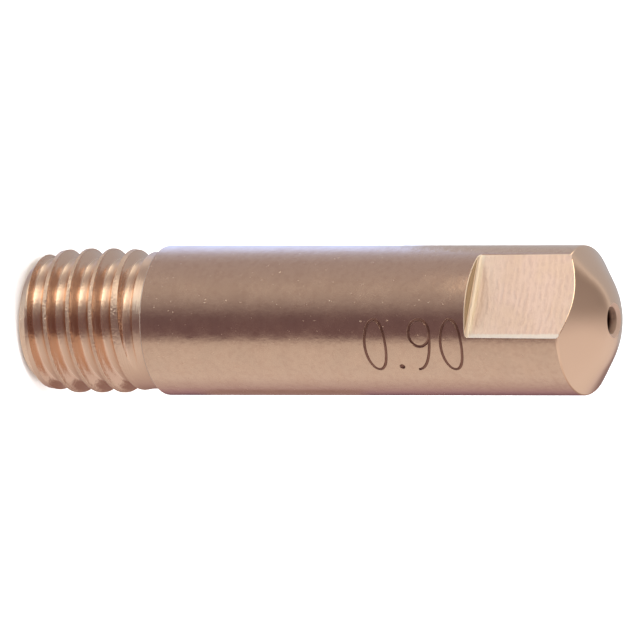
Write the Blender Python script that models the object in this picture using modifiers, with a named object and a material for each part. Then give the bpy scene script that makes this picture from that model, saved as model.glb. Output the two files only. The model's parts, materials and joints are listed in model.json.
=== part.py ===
"""Welding contact tip: one turned, threaded and milled piece of copper alloy.

The tip stands on its thread end. Its axis is Z, and the origin is the centre of
the thread end face. The welding wire enters at the bottom and leaves at the nose.
Lengths are in metres.
"""
import math

import bmesh
import bpy

MM = 0.001

# Turned body and nose
BODY_DIAMETER = 6.0 * MM
OVERALL_LENGTH = 25.0 * MM
SHOULDER_HEIGHT = 5.6 * MM
SHOULDER_EDGE_BREAK = 0.06 * MM
NOSE_CONE_ANGLE = math.radians(56.0)
NOSE_DOME_RADIUS = 3.55 * MM
NOSE_EDGE_RADIUS = 0.15 * MM

# Neck between the thread and the shoulder
NECK_DIAMETER = 5.5 * MM
NECK_LENGTH = 0.75 * MM
NECK_TAPER_LENGTH = 1.0 * MM

# Right-hand screw thread with wide round roots. Its crests are turned down a little below the
# nominal diameter, and further still over the first turn and beside the neck
THREAD_CREST_DIAMETER = 5.8 * MM
THREAD_PITCH = 1.0 * MM
THREAD_CREST_FLAT = THREAD_PITCH / 8
THREAD_CREST_EDGE_RADIUS = 0.04 * MM
THREAD_ROOT_RADIUS = 0.28 * THREAD_PITCH
THREAD_FLANK_ANGLE = math.radians(30.0)
THREAD_START_CHAMFER = 0.42 * MM
THREAD_LEAD_TAPER_LENGTH = 1.08 * MM
THREAD_LEAD_TAPER_DEPTH = 0.18 * MM
THREAD_START_AZIMUTH = math.radians(-27.0)
THREAD_LEAD_IN_TURNS = 0.5
THREAD_RUNOUT_TURNS = 0.5
THREAD_RUNOUT_GAP = 0.4 * MM

# Wire passage along the axis
BORE_DIAMETER = 1.1 * MM
MOUTH_DIAMETER = 1.4 * MM
MOUTH_CHAMFER_LENGTH = 0.12 * MM
ENTRY_DIAMETER = 2.6 * MM
ENTRY_HALF_ANGLE = math.radians(30.0)

# Two milled wrench flats, square to Y
WIDTH_ACROSS_FLATS = 4.75 * MM
FLAT_START_HEIGHT = 19.8 * MM
FLAT_FILLET_RADIUS = 0.15 * MM

# Facets
SEGMENTS_PER_TURN = 60
DOME_ARC_STEPS = 7
EDGE_ARC_STEPS = 3
ROOT_ARC_STEPS = 5
CREST_ARC_STEPS = 1
FILLET_ARC_STEPS = 3
MERGE_DISTANCE = 0.0001 * MM
CUTTER_CLEARANCE = 0.3 * MM
SMOOTH_ANGLE = math.radians(28.0)

COPPER_COLOUR = (0.60, 0.36, 0.25, 1.0)
COPPER_ROUGHNESS = 0.32


def clear_scene():
    for scene_object in list(bpy.data.objects):
        bpy.data.objects.remove(scene_object, do_unlink=True)


def new_collection(name):
    collection = bpy.data.collections.new(name)
    bpy.context.scene.collection.children.link(collection)
    return collection


def copper_material():
    material = bpy.data.materials.new("copper_alloy")
    material.use_nodes = True
    shader = material.node_tree.nodes["Principled BSDF"]
    shader.inputs["Base Color"].default_value = COPPER_COLOUR
    shader.inputs["Metallic"].default_value = 1.0
    shader.inputs["Roughness"].default_value = COPPER_ROUGHNESS
    material.diffuse_color = COPPER_COLOUR
    return material


def arc(centre, radius, start, end, steps):
    """Points (r, z) of an arc. An angle of 0 points outwards, and 90 degrees up."""
    points = []
    for step in range(steps + 1):
        angle = start + (end - start) * step / steps
        points.append((centre[0] + radius * math.cos(angle), centre[1] + radius * math.sin(angle)))
    return points


def outline_object(name, points, collection):
    """A closed outline in the XZ plane from points (r, z), outer side first and downwards."""
    outline = bmesh.new()
    corners = [outline.verts.new((r, 0.0, z)) for r, z in points]
    for first, second in zip(corners, corners[1:] + corners[:1]):
        outline.edges.new((first, second))
    mesh = bpy.data.meshes.new(name)
    outline.to_mesh(mesh)
    outline.free()
    new_object = bpy.data.objects.new(name, mesh)
    collection.objects.link(new_object)
    return new_object


def add_screw(target, turns, rise, steps):
    screw = target.modifiers.new("turning", "SCREW")
    screw.axis = "Z"
    screw.angle = 2 * math.pi * turns
    screw.screw_offset = rise
    screw.steps = steps
    screw.render_steps = steps
    screw.use_merge_vertices = rise == 0
    screw.merge_threshold = MERGE_DISTANCE


def evaluated_mesh(source):
    bpy.context.view_layer.update()
    depsgraph = bpy.context.evaluated_depsgraph_get()
    return bpy.data.meshes.new_from_object(source.evaluated_get(depsgraph))


def nose_outline():
    """The nose from its mouth outwards and down: dome, cone and rounded edge."""
    body_radius = BODY_DIAMETER / 2
    mouth_radius = MOUTH_DIAMETER / 2
    dome_centre = OVERALL_LENGTH - math.sqrt(NOSE_DOME_RADIUS ** 2 - mouth_radius ** 2)
    dome_top = math.acos(mouth_radius / NOSE_DOME_RADIUS)
    dome_side = math.acos(min(1.0, body_radius / NOSE_DOME_RADIUS))
    dome_foot = max(NOSE_CONE_ANGLE, dome_side)
    dome = arc((0.0, dome_centre), NOSE_DOME_RADIUS, dome_top, dome_foot, DOME_ARC_STEPS)
    foot_radius, foot_height = dome[-1]
    cone_foot = foot_height - (body_radius - foot_radius) / math.tan(NOSE_CONE_ANGLE)
    tangent_length = NOSE_EDGE_RADIUS * math.tan(NOSE_CONE_ANGLE / 2)
    edge_centre = (body_radius - NOSE_EDGE_RADIUS, cone_foot - tangent_length)
    edge = arc(edge_centre, NOSE_EDGE_RADIUS, NOSE_CONE_ANGLE, 0.0, EDGE_ARC_STEPS)
    return dome + edge


def blank_outline():
    """Half section of the blank before it is threaded and milled, with its wire passage."""
    body_radius = BODY_DIAMETER / 2
    neck_radius = NECK_DIAMETER / 2
    thread_radius = THREAD_CREST_DIAMETER / 2
    bore_radius = BORE_DIAMETER / 2
    entry_radius = ENTRY_DIAMETER / 2
    neck_foot = SHOULDER_HEIGHT - NECK_LENGTH
    chamfer_radius = thread_radius - THREAD_LEAD_TAPER_DEPTH
    entry_depth = (entry_radius - bore_radius) / math.tan(ENTRY_HALF_ANGLE)
    outer_side = nose_outline() + [
        (body_radius, SHOULDER_HEIGHT + SHOULDER_EDGE_BREAK),
        (body_radius - SHOULDER_EDGE_BREAK, SHOULDER_HEIGHT),
        (neck_radius, SHOULDER_HEIGHT),
        (neck_radius, neck_foot),
        (thread_radius, neck_foot - NECK_TAPER_LENGTH),
        (thread_radius, THREAD_START_CHAMFER + THREAD_LEAD_TAPER_LENGTH),
        (chamfer_radius, THREAD_START_CHAMFER),
        (chamfer_radius - THREAD_START_CHAMFER, 0.0),
    ]
    wire_passage = [
        (entry_radius, 0.0),
        (bore_radius, entry_depth),
        (bore_radius, OVERALL_LENGTH - MOUTH_CHAMFER_LENGTH),
    ]
    return outer_side + wire_passage


def groove_outline():
    """Half section of the thread groove, from outside the blank in to the rounded root."""
    crest_radius = THREAD_CREST_DIAMETER / 2
    outer_radius = crest_radius + CUTTER_CLEARANCE
    flank_slope = math.tan(THREAD_FLANK_ANGLE)
    corner_half_width = (THREAD_PITCH - THREAD_CREST_FLAT) / 2
    apex_radius = crest_radius - corner_half_width / flank_slope
    root_centre_radius = apex_radius + THREAD_ROOT_RADIUS / math.sin(THREAD_FLANK_ANGLE)
    flank_turn = math.pi / 2 - THREAD_FLANK_ANGLE
    root = arc(
        (root_centre_radius, 0.0),
        THREAD_ROOT_RADIUS,
        math.pi + flank_turn,
        math.pi - flank_turn,
        ROOT_ARC_STEPS,
    )
    edge_tangent_length = THREAD_CREST_EDGE_RADIUS * math.tan(flank_turn / 2)
    top_half_width = corner_half_width + edge_tangent_length
    upper_edge = arc(
        (crest_radius - THREAD_CREST_EDGE_RADIUS, top_half_width),
        THREAD_CREST_EDGE_RADIUS,
        -flank_turn,
        0.0,
        CREST_ARC_STEPS,
    )
    lower_edge = [(r, -z) for r, z in reversed(upper_edge)]
    outer_side = [(outer_radius, top_half_width), (outer_radius, -top_half_width)]
    return outer_side + lower_edge + root + upper_edge


def make_groove_cutter(collection):
    """The helical cutter of the thread, which fades outwards in its last part of a turn."""
    outline = groove_outline()
    section = outline_object("thread_groove_section", outline, collection)
    end_height = SHOULDER_HEIGHT - THREAD_RUNOUT_GAP
    turns = THREAD_LEAD_IN_TURNS + end_height / THREAD_PITCH
    steps = round(turns * SEGMENTS_PER_TURN)
    add_screw(section, turns, turns * THREAD_PITCH, steps)
    mesh = evaluated_mesh(section)
    bpy.data.objects.remove(section, do_unlink=True)

    groove = bmesh.new()
    groove.from_mesh(mesh)
    groove.verts.ensure_lookup_table()
    full_lift = outline[0][0] - min(r for r, z in outline)
    runout_start = turns - THREAD_RUNOUT_TURNS
    for index, corner in enumerate(groove.verts):
        turn = turns * (index // len(outline)) / steps
        share = max(0.0, (turn - runout_start) / THREAD_RUNOUT_TURNS)
        radius = math.hypot(corner.co.x, corner.co.y)
        scale = (radius + full_lift * share ** 2) / radius
        corner.co.x *= scale
        corner.co.y *= scale
        corner.co.z -= THREAD_LEAD_IN_TURNS * THREAD_PITCH
    open_edges = [edge for edge in groove.edges if edge.is_boundary]
    bmesh.ops.holes_fill(groove, edges=open_edges, sides=0)
    bmesh.ops.recalc_face_normals(groove, faces=groove.faces)
    groove.to_mesh(mesh)
    groove.free()

    cutter = bpy.data.objects.new("thread_groove_cutter", mesh)
    cutter.rotation_euler.z = THREAD_START_AZIMUTH - 2 * math.pi * THREAD_LEAD_IN_TURNS
    collection.objects.link(cutter)
    return as_cutter(cutter)


def make_flat_cutter(side, collection):
    """A block that mills one wrench flat. Its rounded foot leaves the wall and its fillet."""
    flat_distance = WIDTH_ACROSS_FLATS / 2
    depth = BODY_DIAMETER / 2 - flat_distance + CUTTER_CLEARANCE
    width = BODY_DIAMETER + 2 * CUTTER_CLEARANCE
    height = OVERALL_LENGTH - FLAT_START_HEIGHT + CUTTER_CLEARANCE
    centre = (0.0, side * (flat_distance + depth / 2), FLAT_START_HEIGHT + height / 2)
    block = bmesh.new()
    bmesh.ops.create_cube(block, size=1.0)
    bmesh.ops.scale(block, vec=(width, depth, height), verts=block.verts)
    foot_edges = [
        edge
        for edge in block.edges
        if all(corner.co.z < 0 and corner.co.y * side < 0 for corner in edge.verts)
    ]
    bmesh.ops.bevel(
        block,
        geom=foot_edges,
        offset=FLAT_FILLET_RADIUS,
        segments=FILLET_ARC_STEPS,
        profile=0.5,
        affect="EDGES",
    )
    bmesh.ops.translate(block, vec=centre, verts=block.verts)
    name = "flat_cutter_front" if side < 0 else "flat_cutter_rear"
    mesh = bpy.data.meshes.new(name)
    block.to_mesh(mesh)
    block.free()
    cutter = bpy.data.objects.new(name, mesh)
    collection.objects.link(cutter)
    return as_cutter(cutter)


def as_cutter(cutter):
    cutter.display_type = "WIRE"
    cutter.hide_render = True
    return cutter


def cut(target, cutter):
    difference = target.modifiers.new("cut " + cutter.name, "BOOLEAN")
    difference.operation = "DIFFERENCE"
    difference.solver = "EXACT"
    difference.object = cutter


def make_contact_tip(parts, cutters):
    tip = outline_object("contact_tip", blank_outline(), parts)
    add_screw(tip, 1, 0, SEGMENTS_PER_TURN)
    cut(tip, make_groove_cutter(cutters))
    cut(tip, make_flat_cutter(-1, cutters))
    cut(tip, make_flat_cutter(1, cutters))
    mesh = evaluated_mesh(tip)
    tip.modifiers.clear()
    tip.data = mesh
    mesh.name = "contact_tip"
    mesh.shade_smooth()
    mesh.set_sharp_from_angle(angle=SMOOTH_ANGLE)
    mesh.materials.append(copper_material())
    return tip


clear_scene()
make_contact_tip(new_collection("welding_contact_tip"), new_collection("cutters"))
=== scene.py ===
"""The looks of a welding contact tip: a turned, threaded and milled piece of copper alloy.

The tip stands on its thread end with its axis on Z, and the camera is rolled so that the axis lies
across the picture with the nose on the right. Lengths are in metres.
"""

import json
import math

import bmesh
import bpy
from mathutils import Matrix, Vector

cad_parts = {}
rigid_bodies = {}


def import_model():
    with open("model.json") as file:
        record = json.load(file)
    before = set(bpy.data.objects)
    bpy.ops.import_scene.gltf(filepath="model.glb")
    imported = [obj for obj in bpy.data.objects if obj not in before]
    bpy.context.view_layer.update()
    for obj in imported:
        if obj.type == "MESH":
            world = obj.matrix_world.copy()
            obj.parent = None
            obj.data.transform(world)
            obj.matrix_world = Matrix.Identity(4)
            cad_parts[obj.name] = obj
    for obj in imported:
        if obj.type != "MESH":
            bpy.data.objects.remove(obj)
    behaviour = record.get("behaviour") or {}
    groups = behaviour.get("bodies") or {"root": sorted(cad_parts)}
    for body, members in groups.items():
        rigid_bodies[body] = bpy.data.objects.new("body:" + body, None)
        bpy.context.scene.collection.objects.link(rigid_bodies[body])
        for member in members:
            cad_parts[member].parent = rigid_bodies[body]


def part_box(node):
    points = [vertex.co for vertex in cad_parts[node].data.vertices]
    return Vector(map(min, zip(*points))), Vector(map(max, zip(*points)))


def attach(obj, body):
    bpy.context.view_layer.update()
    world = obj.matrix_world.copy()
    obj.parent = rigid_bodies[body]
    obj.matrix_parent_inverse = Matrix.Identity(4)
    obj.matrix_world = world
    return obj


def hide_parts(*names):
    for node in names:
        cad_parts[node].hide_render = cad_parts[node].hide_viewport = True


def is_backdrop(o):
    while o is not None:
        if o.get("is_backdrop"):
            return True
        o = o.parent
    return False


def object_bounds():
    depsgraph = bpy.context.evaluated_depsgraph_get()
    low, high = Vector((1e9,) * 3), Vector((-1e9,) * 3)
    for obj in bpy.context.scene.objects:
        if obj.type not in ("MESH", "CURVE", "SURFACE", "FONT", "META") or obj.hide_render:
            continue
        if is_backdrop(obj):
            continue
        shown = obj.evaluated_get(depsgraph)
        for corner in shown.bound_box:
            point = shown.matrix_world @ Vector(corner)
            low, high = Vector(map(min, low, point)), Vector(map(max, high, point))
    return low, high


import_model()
cad_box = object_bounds()

MM = 0.001

# Sizes of the tip, as the frame has them
BODY_RADIUS = 3.0 * MM
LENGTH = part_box("contact_tip")[1][2]
SHOULDER_HEIGHT = 5.6 * MM
SHOULDER_EDGE_BREAK = 0.06 * MM
NECK_RADIUS = 2.75 * MM
NECK_LENGTH = 0.75 * MM
NECK_TAPER_LENGTH = 1.0 * MM
NECK_CORNER_RADIUS = 0.1 * MM
NOSE_CONE_ANGLE = math.radians(56.0)
NOSE_DOME_RADIUS = 3.55 * MM
NOSE_EDGE_RADIUS = 0.15 * MM
THREAD_CREST_RADIUS = 2.9 * MM
THREAD_PITCH = 1.0 * MM
THREAD_CREST_HALF_WIDTH = 0.0625 * MM
THREAD_ROOT_ARC = 0.28 * THREAD_PITCH
THREAD_CREST_ARC = 0.04 * MM
THREAD_FLANK_ANGLE = math.radians(30.0)
THREAD_START_CHAMFER = 0.42 * MM
THREAD_LEAD_TAPER_LENGTH = 1.08 * MM
THREAD_LEAD_TAPER_DEPTH = 0.18 * MM
THREAD_START_AZIMUTH = math.radians(-27.0)
THREAD_LEAD_IN_TURNS = 0.5
THREAD_RUNOUT_TURNS = 0.5
THREAD_RUNOUT_GAP = 0.4 * MM
BORE_RADIUS = 0.55 * MM
MOUTH_RADIUS = 0.7 * MM
MOUTH_CHAMFER_LENGTH = 0.12 * MM
ENTRY_RADIUS = 1.3 * MM
ENTRY_HALF_ANGLE = math.radians(30.0)
FLAT_DISTANCE = 2.375 * MM
FLAT_START_HEIGHT = 19.8 * MM
FLAT_FILLET_RADIUS = 0.15 * MM

# Fineness of the meshes
TURN_STEPS = 240
NOSE_DOME_STEPS = 24
NOSE_EDGE_STEPS = 8
SHOULDER_CORNER_STEPS = 4
THREAD_ROOT_STEPS = 10
THREAD_CREST_STEPS = 7
FLAT_FILLET_STEPS = 8
MERGE_DISTANCE = 0.0005 * MM
CUTTER_CLEARANCE = 0.3 * MM

# Rounded rims of the flats. They leave out the place where a flat crosses the tight nose edge
RIM_WIDTH = 0.035 * MM
RIM_STEPS = 3
RIM_ANGLE = math.radians(25.0)
NOSE_CORNER_LOW = 23.65 * MM
NOSE_CORNER_HIGH = 23.86 * MM

# The photograph's view: the camera looks down on the nose end, with the axis across the picture
VIEW_AZIMUTH = math.radians(23.6)
VIEW_ELEVATION = math.radians(24.0)
PICTURE_SIZE = 640
PIXELS_PER_MM = 25.0
THREAD_END_X = 41.3
AXIS_Y = 320.3
CAMERA_DISTANCE = 0.85
CAMERA_CLIP_START = 0.01
CAMERA_CLIP_END = 10.0
SENSOR_WIDTH = 36.0
SIDEWAYS = Vector((math.sin(VIEW_AZIMUTH), -math.cos(VIEW_AZIMUTH), 0.0))
UPWARDS = Vector((-math.cos(VIEW_AZIMUTH), -math.sin(VIEW_AZIMUTH), 0.0))
AXIS = Vector((0.0, 0.0, 1.0))

# Engraved plain number, drawn by a round-nosed tool. It reads from the thread end to the nose
FIGURE_HEIGHT = 2.15 * MM
FIGURE_WIDTH = 0.9 * MM
FIGURE_FOOT_ANGLE = math.radians(-40.5)
FIGURE_STEPS = 36
STROKE_RADIUS = 0.065 * MM
STROKE_LIFT = 0.015 * MM
STROKE_STEPS = 3
NINE_LOOP_HEIGHT = 1.1 * MM
NINE_TAIL_REACH = 0.8 * FIGURE_WIDTH
POINT_RADIUS = 0.13 * MM
POINT_SEGMENTS = 24
POINT_RINGS = 16
FIRST_ZERO_HEIGHT = 15.85 * MM
POINT_HEIGHT = 16.85 * MM
NINE_HEIGHT = 17.8 * MM
LAST_ZERO_HEIGHT = 19.15 * MM

# Smooth shading. The turned surface is what the cuts left of the blank, above the shoulder's face
# and outside the mouth
SMOOTH_ANGLE = math.radians(22.0)
TURNED_TOLERANCE = 0.004 * MM
TURNED_START = SHOULDER_HEIGHT + 0.01 * MM
TURNED_MIN_RADIUS = 1.1 * MOUTH_RADIUS

# Limits of the zones that the finishes cover
FLAT_FACING = 0.99
FLAT_REACH = 1.01 * FLAT_DISTANCE
PASSAGE_REACH = 0.995 * MOUTH_RADIUS
PASSAGE_END = LENGTH - MOUTH_CHAMFER_LENGTH / 2
BROKEN_EDGE_END = SHOULDER_HEIGHT + 0.9 * SHOULDER_EDGE_BREAK
WALL_LEAN = 0.15
NOSE_START_HEIGHT = 23.6 * MM
NUMBER_END = FLAT_START_HEIGHT - 0.02 * MM
NUMBER_MIN_DEPTH = 0.001 * MM

# Colours of the metal
COPPER = (0.86, 0.60, 0.43)
COPPER_DARK = (0.62, 0.36, 0.26)
THREAD_COLOUR = (0.86, 0.62, 0.46)
# Painted shade on the thread flanks that face the nose
THREAD_FLANK_SHADE_COLOUR = (0.77, 0.52, 0.38)
FLAT_COLOUR = (0.93, 0.69, 0.54)
FLAT_COLOUR_PALE = (0.95, 0.71, 0.585)
# Painted highlight on the flat towards its foot
FLAT_HIGHLIGHT_COLOUR = (1.0, 0.78, 0.63)
FLAT_COLOUR_DEEP = (0.74, 0.50, 0.41)
# Painted highlight along the flat's edge
FLAT_EDGE_HIGHLIGHT_COLOUR = (0.97, 0.84, 0.74)
WALL_COLOUR = (0.34, 0.27, 0.19)
# The fillet's copper, made lighter as a painted highlight
FILLET_HIGHLIGHT_COLOUR = (1.0, 0.85, 0.68)
BROKEN_EDGE_COLOUR = (0.72, 0.55, 0.45)
# Painted shade inside the wire passage
PASSAGE_SHADE_COLOUR = (0.22, 0.11, 0.08)
MOUTH_COLOUR = (0.86, 0.66, 0.54)
ENGRAVED_COLOUR = (0.30, 0.16, 0.12)

# Changes within a finish. Each pair says where a change begins and where it is full
NECK_EDGE = (4.3 * MM, 4.6 * MM)
THREAD_CREST_EDGE = (THREAD_CREST_RADIUS - 0.15 * MM, THREAD_CREST_RADIUS)
THREAD_START_EDGE = (THREAD_START_CHAMFER + 0.15 * MM, THREAD_START_CHAMFER - 0.05 * MM)
# Where the painted highlight on the flat begins and where it is full, towards its foot
FLAT_FOOT_HIGHLIGHT_EDGE = (FLAT_START_HEIGHT + 1.5 * MM, FLAT_START_HEIGHT + 0.3 * MM)
# Where the fillet's painted highlight reaches onto the flat
FLAT_FOOT_EDGE = (FLAT_START_HEIGHT + 0.32 * MM, FLAT_START_HEIGHT + 0.18 * MM)
# Across the flat, where the painted edge highlight begins and where it is full
FLAT_EDGE_HIGHLIGHT_BAND = (1.66 * MM, 1.74 * MM)
ENGRAVED_BRINK_EDGE = (BODY_RADIUS - 0.022 * MM, BODY_RADIUS - 0.004 * MM)
MOUTH_EDGE = (LENGTH - 0.50 * MM, LENGTH - 0.30 * MM)

# Arcs that the milling cutter left on the flats
MARK_CENTRE_HEIGHT = 12.0 * MM
MARK_SPACING = 0.27 * MM
MARK_WOBBLE = 0.9
MARK_DARKNESS = 0.35

# Floor and its lights
FLOOR_SIZE = 3.0
FLOOR_COLOUR = (0.92, 0.92, 0.92)
FLOOR_LIGHT_SIZE = 0.8
FLOOR_LIGHT_POWER = 9.0
FLOOR_LIGHT_PLACES = [(0.6, 0.3, 0.9), (-0.6, 0.4, 0.9), (0.0, -0.7, 0.9)]

# Brightness and tint of the soft surround. Angles go round the tip's axis, from the camera's side
# upwards in the picture, and heights go from straight down, -1, to straight up, 1. The first three
# tables give colours by angle and light three zones, one above another, and the last two give
# colours by height
LIGHT_BELOW = [
    (-180, (0.95, 0.88, 0.78)), (-150, (0.90, 0.82, 0.74)), (-125, (0.50, 0.42, 0.40)),
    (-100, (0.70, 0.64, 0.62)), (-75, (0.92, 0.86, 0.82)), (-36, (0.88, 0.82, 0.78)),
    (-26, (0.20, 0.14, 0.17)), (5, (0.20, 0.14, 0.17)), (30, (0.40, 0.38, 0.42)),
    (60, (0.42, 0.40, 0.44)), (90, (0.34, 0.32, 0.36)), (180, (0.45, 0.44, 0.46)),
]
LIGHT_BESIDE = [
    (-180, (0.12, 0.07, 0.10)), (-160, (0.20, 0.12, 0.15)), (-144, (0.40, 0.27, 0.32)),
    (-128, (0.50, 0.42, 0.44)), (-100, (0.68, 0.66, 0.67)), (-60, (0.60, 0.58, 0.58)),
    (-36, (0.55, 0.52, 0.51)), (-25, (0.16, 0.11, 0.13)), (5, (0.15, 0.11, 0.13)),
    (30, (0.36, 0.33, 0.34)), (48, (0.43, 0.40, 0.40)), (100, (0.40, 0.38, 0.42)),
    (122, (0.48, 0.52, 0.66)), (142, (0.78, 1.00, 1.60)), (180, (0.80, 1.05, 1.60)),
]
LIGHT_FRONT = [
    (-180, (0.25, 0.18, 0.18)), (-140, (0.36, 0.26, 0.25)), (-118, (0.42, 0.32, 0.31)),
    (-94, (0.66, 0.54, 0.48)), (-60, (0.85, 0.80, 0.78)), (-34, (0.80, 0.75, 0.74)),
    (-25, (0.18, 0.12, 0.13)), (5, (0.17, 0.11, 0.12)), (30, (0.40, 0.37, 0.38)),
    (60, (0.42, 0.39, 0.40)), (100, (0.40, 0.38, 0.40)), (140, (0.46, 0.47, 0.50)),
    (180, (0.46, 0.47, 0.52)),
]
LIGHT_ABOVE_UPPER = [
    (0.1, (0.56, 0.57, 0.60)), (0.36, (0.58, 0.57, 0.57)), (0.49, (0.40, 0.39, 0.40)),
    (0.58, (0.80, 0.80, 0.80)), (0.65, (0.40, 0.37, 0.36)), (0.72, (0.30, 0.27, 0.27)),
    (1.0, (0.36, 0.33, 0.33)),
]
LIGHT_ABOVE_LOWER = [
    (0.0, (0.62, 0.54, 0.53)), (0.18, (0.72, 0.65, 0.64)), (0.32, (0.77, 0.72, 0.70)),
    (0.5, (0.79, 0.75, 0.75)), (1.0, (0.75, 0.71, 0.71)),
]

# Edges of the zones and lights. Each pair says where a light begins and where it is full. On the
# camera's side the light from above begins higher up, by the lift
BELOW_EDGE = (-0.52, -0.60)
FRONT_EDGE = (-0.36, -0.28)
ABOVE_EDGE = (-0.1, 0.15)
ABOVE_UPPER_EDGE = (-0.3, 0.25)
ABOVE_LIFT = 0.8
ABOVE_LIFT_EDGE = (0.0, 0.3)
KEY_LIGHT_TINT = (1.0, 1.0, 0.88)
KEY_LIGHT_STRENGTH = 3.0
KEY_LIGHT_LOW_EDGE = (35.0, 41.0)
KEY_LIGHT_HIGH_EDGE = (73.0, 57.0)
KEY_LIGHT_THREAD_EDGE = (-0.20, -0.04)
KEY_LIGHT_NOSE_EDGE = (0.72, 0.52)
LOW_KEY_TINT = (0.85, 1.05, 1.10)
LOW_KEY_STRENGTH = 3.2
LOW_KEY_LOW_EDGE = (26.0, 34.0)
LOW_KEY_NOSE_EDGE = (-0.62, -0.72)
SECOND_LIGHT_DIRECTION = SIDEWAYS * -0.33 + UPWARDS * 0.92 + AXIS * 0.10
SECOND_LIGHT_HALF_WIDTH = math.radians(18.0)
SECOND_LIGHT_STRENGTH = 1.5


def deselect_all():
    for item in bpy.context.view_layer.objects:
        item.select_set(False)


def make_active(target):
    deselect_all()
    target.select_set(True)
    bpy.context.view_layer.objects.active = target


def select_corners(test):
    """Selects the vertices of the mesh in edit mode whose place passes the test, with their edges."""
    mesh = bmesh.from_edit_mesh(bpy.context.object.data)
    for corner in mesh.verts:
        corner.select = test(corner.co)
    mesh.select_flush_mode()
    mesh.select_flush(True)
    bmesh.update_edit_mesh(bpy.context.object.data)


def draw_chain(name, points):
    """A chain of edges through the points, left in edit mode.

    It starts as a plane merged to a vertex.
    """
    deselect_all()
    bpy.ops.mesh.primitive_plane_add(size=MM, location=points[0])
    chain = bpy.context.object
    chain.name = name
    bpy.ops.object.transform_apply(location=True, rotation=True, scale=True)
    bpy.ops.object.mode_set(mode="EDIT")
    bpy.ops.mesh.select_mode(type="VERT")
    bpy.ops.mesh.select_all(action="SELECT")
    bpy.ops.mesh.merge(type="CENTER")
    for start, end in zip(points, points[1:]):
        move = [to - here for here, to in zip(start, end)]
        bpy.ops.mesh.extrude_vertices_move(TRANSFORM_OT_translate={"value": move})
    return chain


def draw_profile(name, points):
    """A chain of edges through the points (r, z) of a turned profile."""
    return draw_chain(name, [(r, 0.0, z) for r, z in points])


def close_chain():
    """Joins the ends of the chain in edit mode."""
    bpy.ops.mesh.select_all(action="SELECT")
    bpy.ops.mesh.edge_face_add()
    bpy.ops.mesh.delete(type="ONLY_FACE")


def arc(centre, radius, start, end, steps):
    """Points (r, z) of an arc. An angle of 0 points outwards, and 90 degrees up."""
    points = []
    for step in range(steps + 1):
        angle = start + (end - start) * step / steps
        points.append((centre[0] + radius * math.cos(angle), centre[1] + radius * math.sin(angle)))
    return points


def apply_modifiers(target):
    make_active(target)
    for modifier in list(target.modifiers):
        bpy.ops.object.modifier_apply(modifier=modifier.name)


def cut(target, cutter):
    difference = target.modifiers.new("cut", "BOOLEAN")
    difference.operation = "DIFFERENCE"
    difference.solver = "EXACT"
    difference.object = cutter
    apply_modifiers(target)
    bpy.data.objects.remove(cutter, do_unlink=True)


def nose_profile():
    """The nose from its mouth outwards and down: dome, cone and rounded edge."""
    dome_centre = LENGTH - math.sqrt(NOSE_DOME_RADIUS ** 2 - MOUTH_RADIUS ** 2)
    dome_top = math.acos(MOUTH_RADIUS / NOSE_DOME_RADIUS)
    dome = arc((0.0, dome_centre), NOSE_DOME_RADIUS, dome_top, NOSE_CONE_ANGLE, NOSE_DOME_STEPS)
    foot_radius, foot_height = dome[-1]
    cone_foot = foot_height - (BODY_RADIUS - foot_radius) / math.tan(NOSE_CONE_ANGLE)
    tangent_length = NOSE_EDGE_RADIUS * math.tan(NOSE_CONE_ANGLE / 2)
    edge_centre = (BODY_RADIUS - NOSE_EDGE_RADIUS, cone_foot - tangent_length)
    return dome + arc(edge_centre, NOSE_EDGE_RADIUS, NOSE_CONE_ANGLE, 0.0, NOSE_EDGE_STEPS)


def blank_profile():
    """Half section of the turned blank with its wire passage, outer side first and downwards."""
    neck_foot = SHOULDER_HEIGHT - NECK_LENGTH
    entry_depth = (ENTRY_RADIUS - BORE_RADIUS) / math.tan(ENTRY_HALF_ANGLE)
    shoulder_edge = arc(
        (BODY_RADIUS - SHOULDER_EDGE_BREAK, SHOULDER_HEIGHT + SHOULDER_EDGE_BREAK),
        SHOULDER_EDGE_BREAK, 0.0, -math.pi / 2, SHOULDER_CORNER_STEPS,
    )
    neck_corner = arc(
        (NECK_RADIUS + NECK_CORNER_RADIUS, SHOULDER_HEIGHT - NECK_CORNER_RADIUS),
        NECK_CORNER_RADIUS, math.pi / 2, math.pi, SHOULDER_CORNER_STEPS,
    )
    chamfer_radius = THREAD_CREST_RADIUS - THREAD_LEAD_TAPER_DEPTH
    shank = [
        (NECK_RADIUS, neck_foot),
        (THREAD_CREST_RADIUS, neck_foot - NECK_TAPER_LENGTH),
        (THREAD_CREST_RADIUS, THREAD_START_CHAMFER + THREAD_LEAD_TAPER_LENGTH),
        (chamfer_radius, THREAD_START_CHAMFER),
        (chamfer_radius - THREAD_START_CHAMFER, 0.0),
    ]
    wire_passage = [
        (ENTRY_RADIUS, 0.0),
        (BORE_RADIUS, entry_depth),
        (BORE_RADIUS, LENGTH - MOUTH_CHAMFER_LENGTH),
    ]
    return nose_profile() + shoulder_edge + neck_corner + shank + wire_passage


def turn_blank():
    blank = draw_profile("contact_tip_surface", blank_profile())
    close_chain()
    bpy.ops.mesh.select_all(action="SELECT")
    bpy.ops.mesh.spin(
        steps=TURN_STEPS, angle=2 * math.pi, center=(0.0, 0.0, 0.0), axis=(0.0, 0.0, 1.0)
    )
    bpy.ops.mesh.select_all(action="SELECT")
    bpy.ops.mesh.remove_doubles(threshold=MERGE_DISTANCE)
    bpy.ops.mesh.normals_make_consistent(inside=False)
    bpy.ops.object.mode_set(mode="OBJECT")
    return blank


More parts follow.
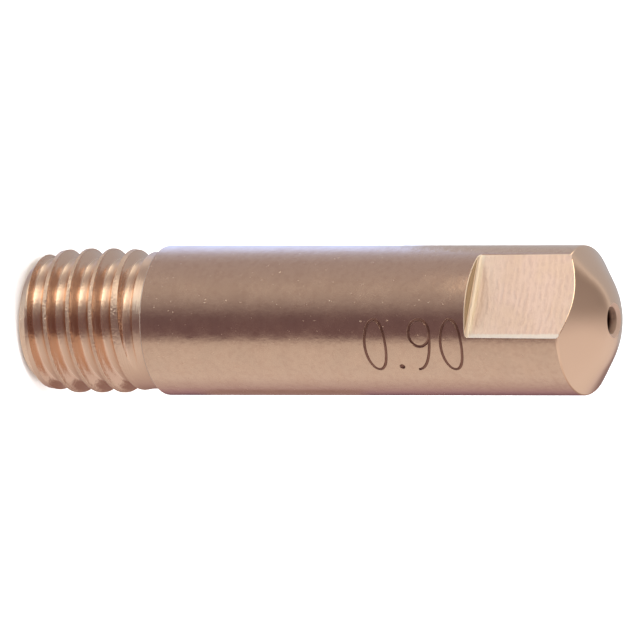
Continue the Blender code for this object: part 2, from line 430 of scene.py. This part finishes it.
def groove_profile():
    """Section of the thread groove, from outside the blank in to the rounded root."""
    outer_radius = THREAD_CREST_RADIUS + CUTTER_CLEARANCE
    corner_half_width = THREAD_PITCH / 2 - THREAD_CREST_HALF_WIDTH
    apex_radius = THREAD_CREST_RADIUS - corner_half_width / math.tan(THREAD_FLANK_ANGLE)
    root_centre = (apex_radius + THREAD_ROOT_ARC / math.sin(THREAD_FLANK_ANGLE), 0.0)
    flank_turn = math.pi / 2 - THREAD_FLANK_ANGLE
    root = arc(
        root_centre, THREAD_ROOT_ARC, math.pi + flank_turn, math.pi - flank_turn, THREAD_ROOT_STEPS
    )
    top_half_width = corner_half_width + THREAD_CREST_ARC * math.tan(flank_turn / 2)
    edge_centre = (THREAD_CREST_RADIUS - THREAD_CREST_ARC, top_half_width)
    upper_edge = arc(edge_centre, THREAD_CREST_ARC, -flank_turn, 0.0, THREAD_CREST_STEPS)
    lower_edge = [(r, -z) for r, z in reversed(upper_edge)]
    outer_side = [(outer_radius, top_half_width), (outer_radius, -top_half_width)]
    return outer_side + lower_edge + root + upper_edge


def sweep_groove():
    """The helical cutter of the thread, which fades outwards in its last part of a turn."""
    points = groove_profile()
    cutter = draw_profile("thread_groove", points)
    close_chain()
    bpy.ops.object.mode_set(mode="OBJECT")
    end_height = SHOULDER_HEIGHT - THREAD_RUNOUT_GAP
    turns = THREAD_LEAD_IN_TURNS + end_height / THREAD_PITCH
    steps = round(turns * TURN_STEPS)
    screw = cutter.modifiers.new("helix", "SCREW")
    screw.axis = "Z"
    screw.angle = 2 * math.pi * turns
    screw.screw_offset = turns * THREAD_PITCH
    screw.steps = steps
    screw.render_steps = steps
    screw.use_merge_vertices = False
    apply_modifiers(cutter)

    full_lift = points[0][0] - min(r for r, z in points)
    runout_start = turns - THREAD_RUNOUT_TURNS
    for index, corner in enumerate(cutter.data.vertices):
        turn = turns * (index // len(points)) / steps
        share = max(0.0, (turn - runout_start) / THREAD_RUNOUT_TURNS)
        radius = math.hypot(corner.co.x, corner.co.y)
        scale = (radius + full_lift * share ** 2) / radius
        corner.co.x *= scale
        corner.co.y *= scale

    bpy.ops.object.mode_set(mode="EDIT")
    bpy.ops.mesh.select_all(action="DESELECT")
    bpy.ops.mesh.select_non_manifold(use_wire=False, use_boundary=True, use_multi_face=False)
    bpy.ops.mesh.fill_holes(sides=0)
    bpy.ops.mesh.select_all(action="SELECT")
    bpy.ops.mesh.normals_make_consistent(inside=False)
    bpy.ops.object.mode_set(mode="OBJECT")
    cutter.rotation_euler.z = THREAD_START_AZIMUTH - 2 * math.pi * THREAD_LEAD_IN_TURNS
    cutter.location.z = -THREAD_LEAD_IN_TURNS * THREAD_PITCH
    make_active(cutter)
    bpy.ops.object.transform_apply(location=True, rotation=True, scale=True)
    return cutter


def flat_cutter(side):
    """The block that mills one wrench flat, with a rounded foot."""
    depth = BODY_RADIUS - FLAT_DISTANCE + CUTTER_CLEARANCE
    width = 2 * (BODY_RADIUS + CUTTER_CLEARANCE)
    height = LENGTH - FLAT_START_HEIGHT + CUTTER_CLEARANCE
    centre = (0.0, side * (FLAT_DISTANCE + depth / 2), FLAT_START_HEIGHT + height / 2)
    deselect_all()
    bpy.ops.mesh.primitive_cube_add(size=1.0, location=centre, scale=(width, depth, height))
    cutter = bpy.context.object
    bpy.ops.object.transform_apply(location=True, rotation=True, scale=True)
    bpy.ops.object.mode_set(mode="EDIT")
    select_corners(lambda place: place.z < centre[2] and place.y * side < centre[1] * side)
    bpy.ops.mesh.bevel(offset=FLAT_FILLET_RADIUS, segments=FLAT_FILLET_STEPS, affect="EDGES")
    bpy.ops.object.mode_set(mode="OBJECT")
    return cutter


def is_flat_rim(edge):
    """Whether the edge is a sharp one round a flat or its wall, away from the nose edge."""
    if len(edge.link_faces) != 2:
        return False
    for corner in edge.verts:
        if abs(corner.co.y) <= FLAT_DISTANCE - MERGE_DISTANCE:
            return False
        if corner.co.z <= FLAT_START_HEIGHT - MERGE_DISTANCE:
            return False
    middle = (edge.verts[0].co.z + edge.verts[1].co.z) / 2
    at_nose_corner = NOSE_CORNER_LOW < middle < NOSE_CORNER_HIGH
    return not at_nose_corner and edge.calc_face_angle() > RIM_ANGLE


def round_flat_rims():
    bpy.ops.object.mode_set(mode="EDIT")
    bpy.ops.mesh.select_mode(type="EDGE")
    bpy.ops.mesh.select_all(action="DESELECT")
    mesh = bmesh.from_edit_mesh(bpy.context.object.data)
    for edge in mesh.edges:
        if is_flat_rim(edge):
            edge.select = True
    bmesh.update_edit_mesh(bpy.context.object.data)
    bpy.ops.mesh.bevel(offset=RIM_WIDTH, segments=RIM_STEPS, affect="EDGES")
    bpy.ops.object.mode_set(mode="OBJECT")


def on_body(along, up, lift):
    """The place on the round body, lifted off it, for a distance along the axis and one up a figure."""
    angle = VIEW_AZIMUTH - math.pi / 2 - FIGURE_FOOT_ANGLE - up / BODY_RADIUS
    radius = BODY_RADIUS + lift
    return (radius * math.cos(angle), radius * math.sin(angle), along)


def oval(height, middle, half_width, half_height):
    """Points (along, up) of an upright oval in a figure, once round."""
    points = []
    for step in range(FIGURE_STEPS):
        angle = 2 * math.pi * step / FIGURE_STEPS
        points.append((height + half_width * math.cos(angle), middle + half_height * math.sin(angle)))
    return points


def nine_tail(height, loop_middle):
    """Points (along, up) from the right side of the loop of a nine down to its foot."""
    steps = FIGURE_STEPS // 2
    points = []
    for step in range(steps + 1):
        angle = -math.pi / 2 * step / steps
        along = height + FIGURE_WIDTH / 2 - NINE_TAIL_REACH * (1 - math.cos(angle))
        points.append((along, loop_middle * (1 + math.sin(angle))))
    return points


def stroke(points, closed):
    """A round tool's path through the points (along, up) of a figure."""
    draw_chain("stroke", [on_body(along, up, STROKE_LIFT) for along, up in points])
    if closed:
        close_chain()
    bpy.ops.object.mode_set(mode="OBJECT")
    bpy.ops.object.convert(target="CURVE")
    path = bpy.context.object
    path.data.bevel_depth = STROKE_RADIUS
    path.data.bevel_resolution = STROKE_STEPS
    path.data.use_fill_caps = not closed
    bpy.ops.object.convert(target="MESH")
    path = bpy.context.object
    bpy.ops.object.mode_set(mode="EDIT")
    bpy.ops.mesh.select_all(action="SELECT")
    bpy.ops.mesh.remove_doubles(threshold=MERGE_DISTANCE)
    bpy.ops.mesh.normals_make_consistent(inside=False)
    bpy.ops.object.mode_set(mode="OBJECT")
    return path


def number_cutters():
    """The tools' paths of the engraved number 0.90."""
    half_height = FIGURE_HEIGHT / 2
    half_width = FIGURE_WIDTH / 2
    loop_middle = FIGURE_HEIGHT - NINE_LOOP_HEIGHT / 2
    for height in (FIRST_ZERO_HEIGHT, LAST_ZERO_HEIGHT):
        yield stroke(oval(height, half_height, half_width, half_height), True)
    yield stroke(oval(NINE_HEIGHT, loop_middle, half_width, NINE_LOOP_HEIGHT / 2), True)
    yield stroke(nine_tail(NINE_HEIGHT, loop_middle), False)
    deselect_all()
    bpy.ops.mesh.primitive_uv_sphere_add(
        segments=POINT_SEGMENTS, ring_count=POINT_RINGS, radius=POINT_RADIUS,
        location=on_body(POINT_HEIGHT, POINT_RADIUS, POINT_RADIUS / 3),
    )
    bpy.ops.object.transform_apply(location=True, rotation=True, scale=True)
    yield bpy.context.object


def copy_of(original):
    make_active(original)
    bpy.ops.object.duplicate()
    return bpy.context.object


def shade(piece):
    """Smooth shading, in which the small faces of rounded edges take all of the turn."""
    make_active(piece)
    bpy.ops.object.shade_smooth_by_angle(angle=SMOOTH_ANGLE)
    weighting = piece.modifiers.new("weighting", "WEIGHTED_NORMAL")
    weighting.keep_sharp = True
    apply_modifiers(piece)


def lies_in_flat(centre, normal):
    """Whether a face is part of the plane of a flat."""
    return abs(normal.y) > FLAT_FACING and abs(centre.y) < FLAT_REACH


def turned_corners(tip, blank):
    """The numbers of the tip's vertices that the cuts left on the turned surface."""
    in_flats = set()
    for face in tip.data.polygons:
        if lies_in_flat(face.center, face.normal):
            in_flats.update(face.vertices)
    turned = []
    for corner in tip.data.vertices:
        place = corner.co
        if corner.index in in_flats or place.z < TURNED_START:
            continue
        if math.hypot(place.x, place.y) < TURNED_MIN_RADIUS:
            continue
        found, nearest, _, _ = blank.closest_point_on_mesh(place)
        if found and (nearest - place).length < TURNED_TOLERANCE:
            turned.append(corner.index)
    return turned


def even_turned_shading(tip, blank):
    """Gives what the cuts left of the turned surface the even shading of the uncut blank."""
    region = tip.vertex_groups.new(name="turned_surface")
    region.add(turned_corners(tip, blank), 1.0, "REPLACE")
    transfer = tip.modifiers.new("even_shading", "DATA_TRANSFER")
    transfer.object = blank
    transfer.use_loop_data = True
    transfer.data_types_loops = {"CUSTOM_NORMAL"}
    transfer.loop_mapping = "POLYINTERP_NEAREST"
    transfer.vertex_group = region.name
    apply_modifiers(tip)
    bpy.data.objects.remove(blank, do_unlink=True)


def build_tip():
    tip = turn_blank()
    blank = copy_of(tip)
    shade(blank)
    cut(tip, sweep_groove())
    for side in (-1, 1):
        cut(tip, flat_cutter(side))
    make_active(tip)
    round_flat_rims()
    for cutter in number_cutters():
        cut(tip, cutter)
    shade(tip)
    even_turned_shading(tip, blank)
    return tip


class Shading:
    """Short names for adding nodes to one node tree."""

    def __init__(self, tree):
        self.nodes = tree.nodes
        self.links = tree.links

    def node(self, kind, **settings):
        node = self.nodes.new("ShaderNode" + kind)
        for name, value in settings.items():
            setattr(node, name, value)
        return node

    def feed(self, socket, value):
        """Gives a socket a plain value or the output of another node."""
        if isinstance(value, bpy.types.NodeSocket):
            self.links.new(value, socket)
        else:
            socket.default_value = value

    def compute(self, operation, *values):
        node = self.node("Math", operation=operation)
        for socket, value in zip(node.inputs, values):
            self.feed(socket, value)
        return node.outputs[0]

    def product(self, first, *others):
        for other in others:
            first = self.compute("MULTIPLY", first, other)
        return first

    def diagonal(self, first, second):
        """The length of the diagonal between two sides at right angles."""
        squares = [self.compute("MULTIPLY", side, side) for side in (first, second)]
        return self.compute("SQRT", self.compute("ADD", *squares))

    def dot(self, vector, direction):
        node = self.node("VectorMath", operation="DOT_PRODUCT")
        self.feed(node.inputs[0], vector)
        self.feed(node.inputs[1], direction)
        return node.outputs["Value"]

    def step(self, value, start, end, bottom=0.0, top=1.0):
        """Goes smoothly from bottom to top as the value goes from start to end."""
        node = self.node("MapRange", interpolation_type="SMOOTHSTEP")
        self.feed(node.inputs["Value"], value)
        self.feed(node.inputs["From Min"], start)
        self.feed(node.inputs["From Max"], end)
        self.feed(node.inputs["To Min"], bottom)
        self.feed(node.inputs["To Max"], top)
        return node.outputs[0]

    def ramp(self, value, stops, low, high):
        """A colour for the value from stops (value, colour) between low and high."""
        share = self.node("MapRange")
        self.feed(share.inputs["Value"], value)
        self.feed(share.inputs["From Min"], low)
        self.feed(share.inputs["From Max"], high)
        node = self.node("ValToRGB")
        elements = node.color_ramp.elements
        while len(elements) > 1:
            elements.remove(elements[-1])
        for index, (place, colour) in enumerate(stops):
            position = (place - low) / (high - low)
            element = elements[0] if index == 0 else elements.new(position)
            element.position = position
            element.color = (*colour, 1.0)
        self.feed(node.inputs[0], share.outputs[0])
        return node.outputs[0]

    def mix(self, share, first, second, blend="MIX"):
        node = self.node("Mix", data_type="RGBA", blend_type=blend)
        self.feed(node.inputs["Factor"], share)
        for socket, colour in ((node.inputs[6], first), (node.inputs[7], second)):
            self.feed(socket, (*colour, 1.0) if isinstance(colour, tuple) else colour)
        return node.outputs[2]


class Finish(Shading):
    """A material in the making. It starts as plain metal of one colour and roughness."""

    def __init__(self, name, colour, roughness):
        self.material = bpy.data.materials.new(name)
        self.material.use_nodes = True
        super().__init__(self.material.node_tree)
        self.shader = self.nodes["Principled BSDF"]
        self.give("Metallic", 1.0)
        self.give("Base Color", (*colour, 1.0))
        self.give("Roughness", roughness)
        self.coordinates = self.node("TexCoord").outputs
        self.x, self.y, self.z = self.parts("Object")

    def give(self, name, value):
        self.feed(self.shader.inputs[name], value)

    def parts(self, name):
        """The X, Y and Z outputs for one kind of coordinates of the piece."""
        node = self.node("SeparateXYZ")
        self.feed(node.inputs[0], self.coordinates[name])
        return node.outputs

    def lean(self):
        """How far the surface faces along the axis: 1 to the nose, -1 to the thread end."""
        return self.parts("Normal")[2]

    def reach(self):
        """The distance from the axis."""
        return self.diagonal(self.x, self.y)

    def noise(self, size, detail=2.0, stretch=(1.0, 1.0, 1.0)):
        """Noise from 0 to 1 with features of about the size, stretched along X, Y or Z."""
        scaled = self.node("VectorMath", operation="MULTIPLY")
        self.feed(scaled.inputs[0], self.coordinates["Object"])
        self.feed(scaled.inputs[1], [1.0 / (size * share) for share in stretch])
        texture = self.node("TexNoise")
        self.feed(texture.inputs["Vector"], scaled.outputs[0])
        self.feed(texture.inputs["Scale"], 1.0)
        self.feed(texture.inputs["Detail"], detail)
        return texture.outputs[0]

    def relief(self, height, depth):
        """A bump from a height of 0 to 1, depth high, on top of the bumps made before."""
        bump = self.node("Bump")
        self.feed(bump.inputs["Distance"], depth)
        self.feed(bump.inputs["Height"], height)
        normal = self.shader.inputs["Normal"]
        if normal.is_linked:
            self.feed(bump.inputs["Normal"], normal.links[0].from_socket)
        self.feed(normal, bump.outputs[0])

    def brushed(self, amount):
        """Spreads the gleam along the axis, across tool marks that run round it."""
        self.give("Tangent", self.node("Tangent", direction_type="RADIAL", axis="Z").outputs[0])
        self.give("Anisotropic", amount)
        quarter_turn = 0.25
        self.give("Anisotropic Rotation", quarter_turn)


def turned_body_finish():
    """Bright turned bar: faint rings round the axis, soft blotches, tiny nicks and light tarnish."""
    finish = Finish("turned_body", COPPER, roughness=0.2)
    rings = finish.noise(size=0.12 * MM, detail=3.0, stretch=(25.0, 25.0, 1.0))
    blotches = finish.noise(size=0.9 * MM, detail=3.0)
    scratches = finish.noise(size=0.09 * MM, stretch=(1.0, 1.0, 2.5))
    dents = finish.noise(size=0.30 * MM, detail=4.0)
    nicks = finish.step(finish.noise(size=0.10 * MM, stretch=(1.0, 1.0, 1.5)), start=0.70, end=0.82)
    finish.relief(rings, depth=0.0012 * MM)
    finish.relief(blotches, depth=0.004 * MM)
    finish.relief(scratches, depth=0.0016 * MM)
    finish.relief(dents, depth=0.007 * MM)
    finish.relief(nicks, depth=0.007 * MM)

    roughness = finish.step(blotches, start=0.3, end=0.7, bottom=0.17, top=0.25)
    nick_roughness = 0.3
    finish.give("Roughness", finish.compute("MULTIPLY_ADD", nicks, nick_roughness, roughness))

    stains = finish.noise(size=0.5 * MM, detail=4.0, stretch=(3.0, 3.0, 1.0))
    tarnish = finish.step(stains, start=0.45, end=0.75, top=0.10)
    mottle = finish.step(finish.noise(size=0.22 * MM, detail=3.0), start=0.42, end=0.68, top=0.16)
    colour = finish.mix(tarnish, COPPER, COPPER_DARK)
    finish.give("Base Color", finish.mix(mottle, colour, COPPER_DARK))
    return finish.material


def cut_thread_finish():
    """Freshly cut metal: smooth flanks, with painted shade on those that face the nose, and grained
    crests.
    """
    finish = Finish("cut_thread", THREAD_COLOUR, roughness=0.24)
    finish.brushed(0.85)
    rings = finish.noise(size=0.06 * MM, stretch=(30.0, 30.0, 1.0))
    neck = finish.step(finish.z, *NECK_EDGE, bottom=0.2, top=0.6)
    finish.relief(finish.product(rings, neck), depth=0.03 * MM)

    crest = finish.step(finish.reach(), *THREAD_CREST_EDGE, bottom=0.15)
    start = finish.step(finish.z, *THREAD_START_EDGE)
    grained = finish.compute("MAXIMUM", crest, start)
    grain = finish.noise(size=0.10 * MM)
    finish.relief(finish.product(grain, grained), depth=0.05 * MM)

    lean = finish.lean()
    # Painted shade: the flanks that face the nose are darkened
    flank_shade = finish.step(lean, start=0.55, end=0.8)
    finish.give("Base Color", finish.mix(flank_shade, THREAD_COLOUR, THREAD_FLANK_SHADE_COLOUR))
    slope = finish.compute("ABSOLUTE", lean)
    roughness = finish.step(slope, start=0.3, end=0.8, bottom=0.42, top=0.15)
    grain_roughness = 0.12
    finish.give("Roughness", finish.compute("MULTIPLY_ADD", grained, grain_roughness, roughness))
    return finish.material


def cutter_marks(finish):
    """The height from 0 to 1 of the wavy arcs that the milling cutter left, deeper in places."""
    along = finish.compute("SUBTRACT", finish.z, MARK_CENTRE_HEIGHT)
    turns = finish.compute("DIVIDE", finish.diagonal(along, finish.x), MARK_SPACING)
    wobble = finish.product(finish.noise(size=0.35 * MM, detail=3.0), MARK_WOBBLE)
    turns = finish.compute("ADD", turns, wobble)
    wave = finish.compute("SINE", finish.product(turns, 2 * math.pi))
    height = finish.compute("MULTIPLY_ADD", wave, 0.5, 0.5)
    strength = finish.step(finish.noise(size=0.45 * MM), start=0.35, end=0.62, bottom=0.1)
    return finish.product(height, strength)


def milled_flat_finish():
    """A milled face: arcs left by the cutter and fine scuffs, with painted highlights towards its foot,
    on its fillet and along its edge at +X.
    """
    finish = Finish("milled_flat", FLAT_COLOUR, roughness=0.5)
    marks = cutter_marks(finish)
    fine = finish.noise(size=0.07 * MM, detail=3.0, stretch=(4.0, 4.0, 1.0))
    finish.relief(marks, depth=0.006 * MM)
    finish.relief(fine, depth=0.008 * MM)

    patches = finish.noise(size=0.9 * MM, detail=3.0, stretch=(1.0, 1.0, 0.7))
    pale = finish.step(patches, start=0.35, end=0.65)
    colour = finish.mix(pale, FLAT_COLOUR, FLAT_COLOUR_PALE)
    colour = finish.mix(finish.product(marks, MARK_DARKNESS), colour, FLAT_COLOUR_DEEP)
    # Painted highlight: the flat grows brighter towards its foot
    foot_highlight = finish.step(finish.z, *FLAT_FOOT_HIGHLIGHT_EDGE, top=0.9)
    colour = finish.mix(foot_highlight, colour, FLAT_HIGHLIGHT_COLOUR)
    scuffs = finish.step(fine, start=0.45, end=0.75, top=0.3)
    colour = finish.mix(scuffs, colour, FLAT_COLOUR_DEEP)
    # Painted highlight: the fillet's light colour runs onto the flat's foot
    colour = finish.mix(finish.step(finish.z, *FLAT_FOOT_EDGE), colour, FILLET_HIGHLIGHT_COLOUR)
    # Painted highlight: a ragged pale strip along the flat's edge at +X
    grit = finish.product(finish.noise(size=0.12 * MM, detail=3.0), 0.12 * MM)
    edge_highlight = finish.step(finish.compute("ADD", grit, finish.x), *FLAT_EDGE_HIGHLIGHT_BAND)
    finish.give("Base Color", finish.mix(edge_highlight, colour, FLAT_EDGE_HIGHLIGHT_COLOUR))
    return finish.material


def nose_finish():
    """Bright turned metal with faint rings and soft waves."""
    finish = Finish("turned_nose", COPPER, roughness=0.19)
    rings = finish.noise(size=0.10 * MM, stretch=(20.0, 20.0, 1.0))
    waves = finish.noise(size=0.8 * MM, detail=3.0)
    finish.relief(rings, depth=0.001 * MM)
    finish.relief(waves, depth=0.006 * MM)
    return finish.material


def passage_finish():
    """The wire passage: painted shade inside, turning to pale metal at the mouth."""
    finish = Finish("wire_passage", PASSAGE_SHADE_COLOUR, roughness=0.35)
    # Painted shade deep in the passage, fading out towards the mouth
    mouth = finish.step(finish.z, *MOUTH_EDGE)
    finish.give("Base Color", finish.mix(mouth, PASSAGE_SHADE_COLOUR, MOUTH_COLOUR))
    finish.give("Roughness", finish.step(finish.z, *MOUTH_EDGE, bottom=0.35, top=0.70))
    finish.relief(finish.noise(size=0.10 * MM), depth=0.004 * MM)
    return finish.material


def engraved_finish():
    """The tool's dark stroke, with a pale brink."""
    finish = Finish("engraved", ENGRAVED_COLOUR, roughness=0.4)
    brink = finish.step(finish.reach(), *ENGRAVED_BRINK_EDGE, top=0.8)
    finish.give("Base Color", finish.mix(brink, ENGRAVED_COLOUR, THREAD_COLOUR))
    finish.relief(finish.noise(size=0.06 * MM), depth=0.006 * MM)
    return finish.material


def grained_finish(name, colour, roughness):
    """A small cut face of one colour, with a fine grain."""
    finish = Finish(name, colour, roughness)
    finish.relief(finish.noise(size=0.08 * MM), depth=0.006 * MM)
    return finish.material


def finish_zone(centre, normal):
    """The zone of the tip that a face lies in."""
    radius = math.hypot(centre.x, centre.y)
    if radius < PASSAGE_REACH and centre.z < PASSAGE_END:
        return "passage"
    if centre.z < SHOULDER_HEIGHT:
        return "thread"
    if centre.z < BROKEN_EDGE_END:
        return "broken_edge"
    if centre.z > FLAT_START_HEIGHT and lies_in_flat(centre, normal):
        return "flat"
    near_wall = abs(centre.z - FLAT_START_HEIGHT) < FLAT_FILLET_RADIUS and normal.z > WALL_LEAN
    if near_wall and abs(centre.y) > FLAT_DISTANCE:
        above_fillet = abs(centre.y) > FLAT_DISTANCE + FLAT_FILLET_RADIUS
        return "wall" if above_fillet and radius < BODY_RADIUS - RIM_WIDTH else "fillet"
    if centre.z > NOSE_START_HEIGHT:
        return "nose"
    if centre.z < NUMBER_END and radius < BODY_RADIUS - NUMBER_MIN_DEPTH:
        return "number"
    return "body"


def apply_finishes(tip):
    finishes = {
        "body": turned_body_finish(),
        "thread": cut_thread_finish(),
        "flat": milled_flat_finish(),
        "nose": nose_finish(),
        "passage": passage_finish(),
        "number": engraved_finish(),
        "wall": grained_finish("milled_wall", WALL_COLOUR, roughness=0.32),
        # The fillet's colour is copper made lighter as a painted highlight
        "fillet": grained_finish("milled_fillet", FILLET_HIGHLIGHT_COLOUR, roughness=0.65),
        "broken_edge": grained_finish("broken_edge", BROKEN_EDGE_COLOUR, roughness=0.6),
    }
    for material in finishes.values():
        tip.data.materials.append(material)
    slots = {zone: slot for slot, zone in enumerate(finishes)}
    for face in tip.data.polygons:
        face.material_index = slots[finish_zone(face.center, face.normal)]


def add_camera():
    right = AXIS * math.cos(VIEW_ELEVATION) - SIDEWAYS * math.sin(VIEW_ELEVATION)
    back = SIDEWAYS * math.cos(VIEW_ELEVATION) + AXIS * math.sin(VIEW_ELEVATION)
    half = PICTURE_SIZE / 2
    height = (half - THREAD_END_X) / (PIXELS_PER_MM * math.cos(VIEW_ELEVATION)) * MM
    target = AXIS * height + UPWARDS * ((AXIS_Y - half) / PIXELS_PER_MM * MM)
    data = bpy.data.cameras.new("camera")
    data.sensor_width = SENSOR_WIDTH
    data.lens = SENSOR_WIDTH * CAMERA_DISTANCE / (PICTURE_SIZE / PIXELS_PER_MM * MM)
    data.clip_start = CAMERA_CLIP_START
    data.clip_end = CAMERA_CLIP_END
    camera = bpy.data.objects.new("camera", data)
    bpy.context.collection.objects.link(camera)
    placed = Matrix((right, UPWARDS, back)).transposed().to_4x4()
    placed.translation = target + back * CAMERA_DISTANCE
    camera.matrix_world = placed
    bpy.context.scene.camera = camera


def add_floor():
    """A plain pale floor with its lights. The metal reflects neither."""
    deselect_all()
    bpy.ops.mesh.primitive_plane_add(size=FLOOR_SIZE, location=(0.0, 0.0, 0.0))
    floor = bpy.context.object
    floor.name = "floor"
    finish = Finish("pale_floor", FLOOR_COLOUR, roughness=0.9)
    finish.give("Metallic", 0.0)
    floor.data.materials.append(finish.material)
    floor.visible_glossy = False
    floor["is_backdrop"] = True

    for place in FLOOR_LIGHT_PLACES:
        data = bpy.data.lights.new("floor_light", "AREA")
        data.shape = "DISK"
        data.size = FLOOR_LIGHT_SIZE
        data.energy = FLOOR_LIGHT_POWER
        lamp = bpy.data.objects.new("floor_light", data)
        bpy.context.collection.objects.link(lamp)
        lamp.location = place
        lamp.rotation_euler = (-Vector(place)).to_track_quat("-Z", "Y").to_euler()
        lamp.visible_glossy = False


def surround(shading, angle, height, sideways, upwards):
    """The colour of the soft surround for a direction."""
    light = shading.mix(
        shading.step(height, *BELOW_EDGE),
        shading.ramp(angle, LIGHT_BESIDE, -180, 180),
        shading.ramp(angle, LIGHT_BELOW, -180, 180),
    )
    light = shading.mix(
        shading.step(height, *FRONT_EDGE), light, shading.ramp(angle, LIGHT_FRONT, -180, 180)
    )
    above = shading.mix(
        shading.step(upwards, *ABOVE_UPPER_EDGE),
        shading.ramp(height, LIGHT_ABOVE_LOWER, 0, 1),
        shading.ramp(height, LIGHT_ABOVE_UPPER, 0, 1),
    )
    lift = shading.product(shading.step(sideways, *ABOVE_LIFT_EDGE), ABOVE_LIFT)
    above_height = shading.compute("SUBTRACT", height, lift)
    return shading.mix(shading.step(above_height, *ABOVE_EDGE), light, above)


def add_studio_light():
    """The soft surround that the metal reflects, with a key light, a low key light and a second."""
    world = bpy.data.worlds.new("studio")
    bpy.context.scene.world = world
    world.use_nodes = True
    world.node_tree.nodes.clear()
    shading = Shading(world.node_tree)
    direction = shading.node("TexCoord").outputs["Generated"]
    sideways = shading.dot(direction, SIDEWAYS)
    upwards = shading.dot(direction, UPWARDS)
    height = shading.dot(direction, AXIS)
    angle = shading.compute("DEGREES", shading.compute("ARCTAN2", upwards, sideways))
    light = surround(shading, angle, height, sideways, upwards)

    key = shading.product(
        shading.step(angle, *KEY_LIGHT_LOW_EDGE, top=KEY_LIGHT_STRENGTH),
        shading.step(angle, *KEY_LIGHT_HIGH_EDGE),
        shading.step(height, *KEY_LIGHT_THREAD_EDGE),
        shading.step(height, *KEY_LIGHT_NOSE_EDGE),
    )
    second = shading.step(
        shading.dot(direction, SECOND_LIGHT_DIRECTION.normalized()),
        math.cos(SECOND_LIGHT_HALF_WIDTH), 1.0, top=SECOND_LIGHT_STRENGTH,
    )
    low_key = shading.product(
        shading.step(angle, *LOW_KEY_LOW_EDGE, top=LOW_KEY_STRENGTH),
        shading.step(angle, *KEY_LIGHT_HIGH_EDGE),
        shading.step(height, *LOW_KEY_NOSE_EDGE),
    )
    key = shading.compute("ADD", key, second)
    for strength, tint in ((key, KEY_LIGHT_TINT), (low_key, LOW_KEY_TINT)):
        light = shading.mix(1.0, light, shading.mix(1.0, strength, tint, "MULTIPLY"), "ADD")

    background = shading.node("Background")
    shading.feed(background.inputs[0], light)
    shading.feed(shading.node("OutputWorld").inputs[0], background.outputs[0])


def add_card(name, angle, distance, low, high, width, glow, tilt=0.0):
    """A glowing card beside the tip that its metal mirrors. The camera doesn't see it."""
    deselect_all()
    bpy.ops.mesh.primitive_plane_add(size=1.0)
    card = bpy.context.object
    card.name = name
    card.dimensions = (width, high - low, 0.0)
    bpy.ops.object.transform_apply(location=False, rotation=False, scale=True)
    around = SIDEWAYS * math.cos(angle) + UPWARDS * math.sin(angle)
    across = around.cross(AXIS)
    outwards = around * math.cos(tilt) + AXIS * math.sin(tilt)
    card.matrix_world = Matrix((across, across.cross(outwards), -outwards)).transposed().to_4x4()
    card.location = around * distance + AXIS * (low + high) / 2
    finish = Finish(name, (0.0, 0.0, 0.0), roughness=1.0)
    finish.give("Metallic", 0.0)
    finish.give("Specular IOR Level", 0.0)
    finish.give("Emission Color", (*glow, 1.0))
    finish.give("Emission Strength", 1.0)
    finish.material.cycles.emission_sampling = "NONE"
    card.data.materials.append(finish.material)
    card.visible_camera = False
    card.visible_diffuse = False
    card.visible_shadow = False
    card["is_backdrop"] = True


def add_cards():
    add_card(
        "flat_card", angle=math.radians(53.0), tilt=math.radians(-24.0), distance=18.5 * MM,
        low=13.6 * MM, high=20.3 * MM, width=7.0 * MM, glow=(1.10, 1.00, 0.89),
    )
    add_card(
        "dark_card", angle=math.radians(-148.0), distance=12.0 * MM,
        low=2.5 * MM, high=9.5 * MM, width=11.0 * MM, glow=(0.33, 0.23, 0.22),
    )
    add_card(
        "grey_card", angle=math.radians(155.0), distance=40.0 * MM,
        low=-1.0 * MM, high=50.0 * MM, width=50.0 * MM, glow=(0.50, 0.52, 0.56),
    )


add_camera()
tip = build_tip()
apply_finishes(tip)
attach(tip, "root")
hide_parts("contact_tip")
add_floor()
add_studio_light()
add_cards()
bpy.context.scene.view_settings.view_transform = "Standard"

boxes = {"cad": cad_box, "visual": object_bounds()}
{name: [list(corner) for corner in box] for name, box in boxes.items()}
